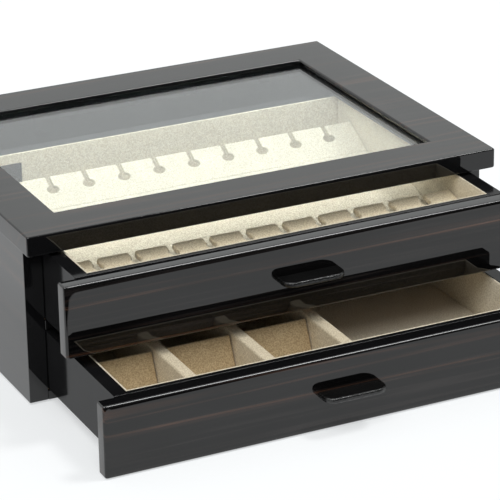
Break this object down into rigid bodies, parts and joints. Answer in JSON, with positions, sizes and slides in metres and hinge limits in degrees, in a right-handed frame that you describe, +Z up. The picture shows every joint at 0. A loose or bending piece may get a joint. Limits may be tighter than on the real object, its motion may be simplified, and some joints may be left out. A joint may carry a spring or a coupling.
{
  "type": "jewelry armoire",
  "caption": "Low jewelry chest with a framed glass top and stacked drawers holding a slotted necklace insert and lined compartments.",
  "frame": {"origin": "middle of the felt-covered underside of the case", "axes": "+Z up, -Y the way the drawers pull out, +X to the right when facing the drawers"},
  "size_m": [0.36, 0.4064, 0.131],
  "materials": {
    "ebony": "high-gloss lacquered dark veneer",
    "box_lacquer": "satin black lacquer",
    "bare_wood": "bare",
    "suede": "cream suede",
    "felt": "black felt",
    "glass": "polished",
    "brass": "bright"
  },
  "bodies": {
    "chest": {"back_panel": "ebony", "base_felt": "felt", "base_panel": "ebony", "glass_pane": "glass", "glazing_bead_back": "box_lacquer", "glazing_bead_front": "box_lacquer", "glazing_bead_left": "box_lacquer", "glazing_bead_right": "box_lacquer", "lid_dowel_left": "bare_wood", "lid_dowel_right": "bare_wood", "lid_frame": "ebony", "lower_drawer_stop": "bare_wood", "lower_runner_left": "bare_wood", "lower_runner_right": "bare_wood", "mid_shelf": "ebony", "side_panel_left": "ebony", "side_panel_right": "ebony", "upper_drawer_stop": "bare_wood", "upper_runner_left": "bare_wood", "upper_runner_right": "bare_wood"},
    "upper_drawer": {"bed_bearer": "bare_wood", "keyhole_board": "suede", "ledge_bearer": "bare_wood", "necklace_bed": "suede", "slotted_ledge": "suede", "upper_bottom": "bare_wood", "upper_box_back": "box_lacquer", "upper_box_front": "box_lacquer", "upper_box_left": "box_lacquer", "upper_box_right": "box_lacquer", "upper_floor_lining": "suede", "upper_front": "ebony", "upper_lining_back": "suede", "upper_lining_front": "suede", "upper_lining_left": "suede", "upper_lining_right": "suede", "upper_pull": "ebony", "upper_pull_screw_left": "brass", "upper_pull_screw_right": "brass"},
    "lower_drawer": {"divider_1": "suede", "divider_2": "suede", "divider_3": "suede", "lower_bottom": "bare_wood", "lower_box_back": "box_lacquer", "lower_box_front": "box_lacquer", "lower_box_left": "box_lacquer", "lower_box_right": "box_lacquer", "lower_floor_lining": "suede", "lower_front": "ebony", "lower_lining_back": "suede", "lower_lining_front": "suede", "lower_lining_left": "suede", "lower_lining_right": "suede", "lower_pull": "ebony", "lower_pull_screw_left": "brass", "lower_pull_screw_right": "brass", "sloping_pad_1": "suede", "sloping_pad_2": "suede", "sloping_pad_3": "suede"}
  },
  "joints": [
    {"name": "upper_drawer_slide", "type": "slide", "parent": "chest", "child": "upper_drawer", "axis": [0, -1, 0], "range_m": [-0.0567, 0.1225]},
    {"name": "lower_drawer_slide", "type": "slide", "parent": "chest", "child": "lower_drawer", "axis": [0, -1, 0], "range_m": [-0.1167, 0.0625]}
  ]
}
